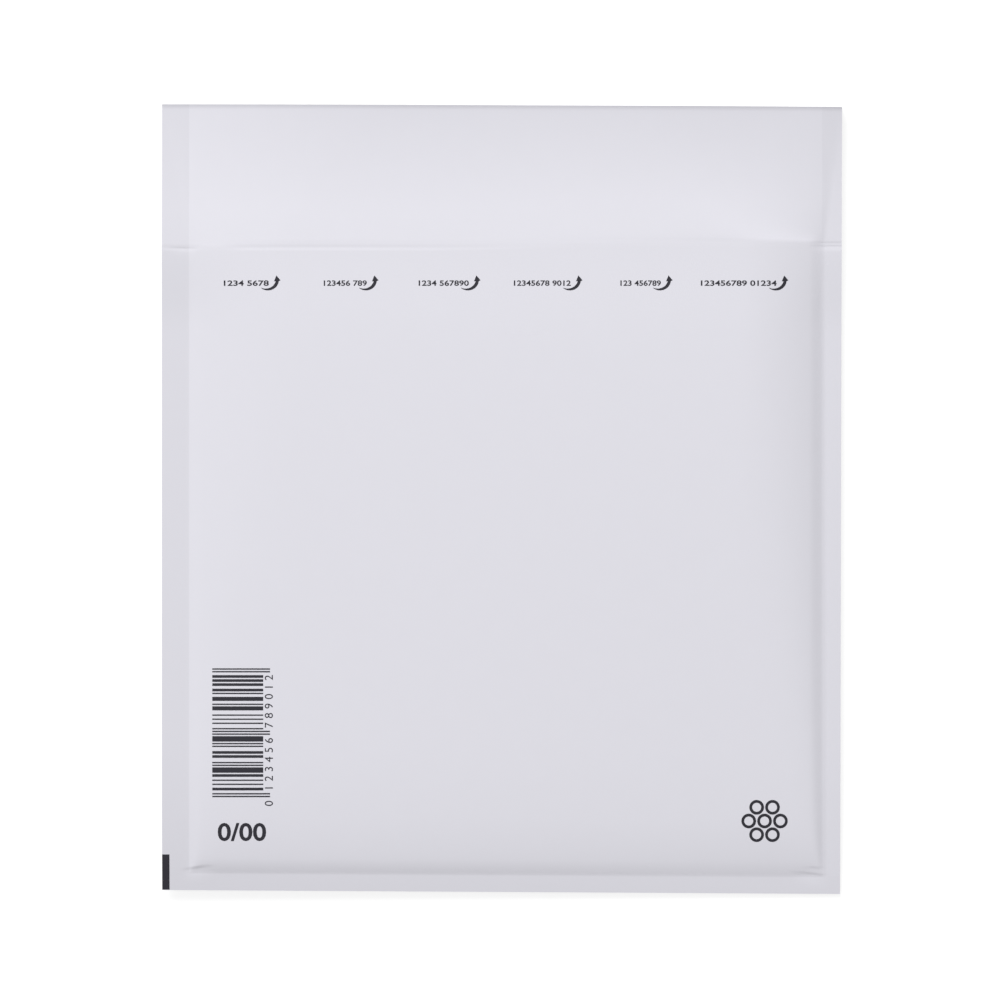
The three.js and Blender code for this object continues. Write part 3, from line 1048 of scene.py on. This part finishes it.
class ENVELOPE_OT_opening_marks(EnvelopeOperator, bpy.types.Operator):
    """Prints the row of small opening marks: plain figures, each with an arrow that curves up"""

    bl_idname = "envelope.opening_marks"
    bl_label = "Opening marks"

    def execute(self, context):
        s, c = self.sizes(), self.colours()
        for number, (words, start, width) in enumerate(OPENING_MARKS, 1):
            place = (start, OPENING_MARKS_Y)
            marks = figures(s, words, 2.62 * MM, place, width=width, weight=0.022)
            print_piece(f"print_mark_{number}", [marks, self.arrow(s, start + width)], c)
        return {"FINISHED"}

    def arrow(self, s, start):
        """A stroke along an ellipse from under the figures to their right, wider on its way, that
        ends in a head shaped as a triangle."""
        turn = np.radians(np.linspace(-123, -7, 16))
        tail = np.stack([-0.7 + 3.7 * np.cos(turn), 2.1 + 3.44 * np.sin(turn)], axis=-1)
        tail_widths = 0.12 + 1.0 * np.sin(np.linspace(0, 1.9, 16))
        head = tail[-1] + np.outer(np.linspace(0.02, 1.9, 5), [-0.16, 1])
        head_widths = np.linspace(2.35, 0.04, 5)
        line = np.concatenate([tail, head]) * MM + np.array([start, OPENING_MARKS_Y])
        return ink_stroke(s, line, np.concatenate([tail_widths, head_widths]) * MM)


DUMMY_CODE = "0123456789012"
CODE_RUNS = ("3211", "2221", "2122", "1411", "1132", "1231", "1114", "1312", "1213", "3112")


class ENVELOPE_OT_barcode(EnvelopeOperator, bpy.types.Operator):
    """Prints a barcode of a dummy number up the left side, with its plain figures beside it"""

    bl_idname = "envelope.barcode"
    bl_label = "Barcode"

    def execute(self, context):
        s, c = self.sizes(), self.colours()
        module, foot = 0.479 * MM, -105.3 * MM
        left, right, guard_right = -102.2 * MM, -84.2 * MM, -81.8 * MM
        starts, widths, guards = self.bars()
        bars = []
        for start, width, guard in zip(foot + starts * module, widths * module, guards):
            bars.append(ink_bar(s, (left, guard_right if guard else right), (start, start + width)))
        print_piece("print_barcode", bars, c)
        line, turn = -80.8 * MM, math.pi / 2
        centres = np.concatenate([[-4.6], 6.8 + 7 * np.arange(6), 53.2 + 7 * np.arange(6)])
        code = [
            figures(s, figure, 4.15 * MM, (line, foot + centre * module), turn)
            for figure, centre in zip(DUMMY_CODE, centres)
        ]
        print_piece("print_code_figures", code, c)
        return {"FINISHED"}

    def bars(self):
        """Starts and widths, in modules, of the dark bars of a thirteen-figure code that begins
        with 0: a guard, six figures, a middle guard, six figures, a guard. Runs of dark and light
        take turns. Also says which bars belong to the guards."""
        left, right = ("".join(CODE_RUNS[int(figure)] for figure in part) for part in (DUMMY_CODE[1:7], DUMMY_CODE[7:]))
        runs = np.array([int(run) for run in "111" + left + "11111" + right + "111"])
        starts = np.cumsum(runs) - runs
        place = np.arange(len(runs))
        guards = (place < 3) | (np.abs(place - len(runs) // 2) < 3) | (place >= len(runs) - 3)
        return starts[::2], runs[::2], guards[::2]


class ENVELOPE_OT_size_figures(EnvelopeOperator, bpy.types.Operator):
    """Prints plain bold figures where such an envelope states its size"""

    bl_idname = "envelope.size_figures"
    bl_label = "Size figures"

    def execute(self, context):
        s = self.sizes()
        place = (-100.3 * MM, -120.6 * MM)
        size_figures = figures(s, "0/00", 8.7 * MM, place, width=17.1 * MM, weight=0.02)
        print_piece("print_size", [size_figures], self.colours())
        return {"FINISHED"}


class ENVELOPE_OT_emblem(EnvelopeOperator, bpy.types.Operator):
    """Prints a plain cluster of seven rings, like bubbles, in the lower right corner"""

    bl_idname = "envelope.emblem"
    bl_label = "Bubble emblem"

    def execute(self, context):
        s = self.sizes()
        centre = np.array([92.9, -113.8]) * MM
        pitch, radius, stroke = 5.6 * MM, 2.1 * MM, 1 * MM
        turn = np.arange(6) * math.pi / 3
        around = np.stack([np.cos(turn), np.sin(turn)], axis=-1) * pitch
        places = np.concatenate([[[0, 0]], around]) + centre
        print_piece("print_emblem", [ink_ring(s, place, radius, stroke) for place in places], self.colours())
        return {"FINISHED"}


class ENVELOPE_OT_edge_mark(EnvelopeOperator, bpy.types.Operator):
    """Prints the dark registration mark at the foot of the left margin"""

    bl_idname = "envelope.edge_mark"
    bl_label = "Registration mark"

    def execute(self, context):
        s = self.sizes()
        x_range = (CAD_LOW.x, CAD_LOW.x + 2.6 * MM)
        y_range = (CAD_LOW.y + 0.9 * MM, CAD_LOW.y + 13.4 * MM)
        print_piece("print_edge_mark", [ink_bar(s, x_range, y_range)], self.colours())
        return {"FINISHED"}


class ENVELOPE_OT_stage(EnvelopeOperator, bpy.types.Operator):
    """Sets up the floor, the studio light and the camera straight above"""

    bl_idname = "envelope.stage"
    bl_label = "Stage"

    def execute(self, context):
        self.floor()
        self.light()
        self.camera()
        bpy.context.scene.view_settings.view_transform = "Standard"
        return {"FINISHED"}

    def floor(self):
        reach, below = 20, -0.2 * MM
        corners = [(-reach, -reach, below), (reach, -reach, below), (reach, reach, below), (-reach, reach, below)]
        mesh = bpy.data.meshes.new("floor")
        mesh.from_pydata(corners, [], [(0, 1, 2, 3)])
        mesh.materials.append(studio_floor(self.colours().floor))
        floor = bpy.data.objects.new("floor", mesh)
        bpy.context.scene.collection.objects.link(floor)

    def light(self):
        world = bpy.data.worlds.new("studio")
        world.use_nodes = True
        tree = world.node_tree
        tree.nodes.clear()
        ray = add_node(tree, "ShaderNodeLightPath")
        dome = add_node(tree, "ShaderNodeBackground", {"Color": (1, 1, 1, 1), "Strength": 0.48})
        seen = add_node(tree, "ShaderNodeBackground", {"Color": (1, 1, 1, 1), "Strength": 1})
        both = add_node(
            tree,
            "ShaderNodeMixShader",
            {0: ray.outputs["Is Camera Ray"], 1: dome.outputs[0], 2: seen.outputs[0]},
        )
        output = add_node(tree, "ShaderNodeOutputWorld")
        tree.links.new(both.outputs[0], output.inputs["Surface"])
        bpy.context.scene.world = world
        self.lamp("key", (-1.25, 3.1, 3.01), 2.6, 144.5)

    def lamp(self, name, place, size, power):
        """A square softbox that faces the envelope."""
        data = bpy.data.lights.new(name, "AREA")
        data.shape = "SQUARE"
        data.size = size
        data.energy = power
        lamp = bpy.data.objects.new(name, data)
        lamp.location = place
        direction = -lamp.location
        lamp.rotation_euler = direction.to_track_quat("-Z", "Y").to_euler()
        bpy.context.scene.collection.objects.link(lamp)

    def camera(self):
        """Long lens straight above. One picture is 353.2 mm across at the height of the cover."""
        lens, sensor, across = 400, 36, 353.2 * MM
        height_of_cover = 8 * MM
        data = bpy.data.cameras.new("camera")
        data.lens = lens
        data.sensor_width = sensor
        camera = bpy.data.objects.new("camera", data)
        camera.location = (-0.6 * MM, -0.36 * MM, height_of_cover + across * lens / sensor)
        bpy.context.scene.collection.objects.link(camera)
        bpy.context.scene.camera = camera


class ENVELOPE_PT_panel(bpy.types.Panel):
    """Lists the envelope's pieces, sizes and colours in the 3D view's sidebar"""

    bl_idname = "ENVELOPE_PT_panel"
    bl_label = "Padded envelope"
    bl_space_type = "VIEW_3D"
    bl_region_type = "UI"
    bl_category = "Envelope"

    def draw(self, context):
        for operator in OPERATORS:
            self.layout.operator(operator.bl_idname)
        for group in (context.scene.envelope_sizes, context.scene.envelope_colours):
            for name in group.bl_rna.properties.keys():
                if name not in ("rna_type", "name"):
                    self.layout.prop(group, name)


OPERATORS = (
    ENVELOPE_OT_stage,
    ENVELOPE_OT_cover,
    ENVELOPE_OT_lining,
    ENVELOPE_OT_seal,
    ENVELOPE_OT_opening_marks,
    ENVELOPE_OT_barcode,
    ENVELOPE_OT_size_figures,
    ENVELOPE_OT_emblem,
    ENVELOPE_OT_edge_mark,
)
CLASSES = (EnvelopeSizes, EnvelopeColours, *OPERATORS, ENVELOPE_PT_panel)


def register():
    for cls in CLASSES:
        bpy.utils.register_class(cls)
    bpy.types.Scene.envelope_sizes = bpy.props.PointerProperty(type=EnvelopeSizes)
    bpy.types.Scene.envelope_colours = bpy.props.PointerProperty(type=EnvelopeColours)


def unregister():
    del bpy.types.Scene.envelope_colours
    del bpy.types.Scene.envelope_sizes
    for cls in reversed(CLASSES):
        bpy.utils.unregister_class(cls)


def main():
    register()
    for operator in OPERATORS:
        group, name = operator.bl_idname.split(".")
        getattr(getattr(bpy.ops, group), name)()


if __name__ == "__main__":
    main()
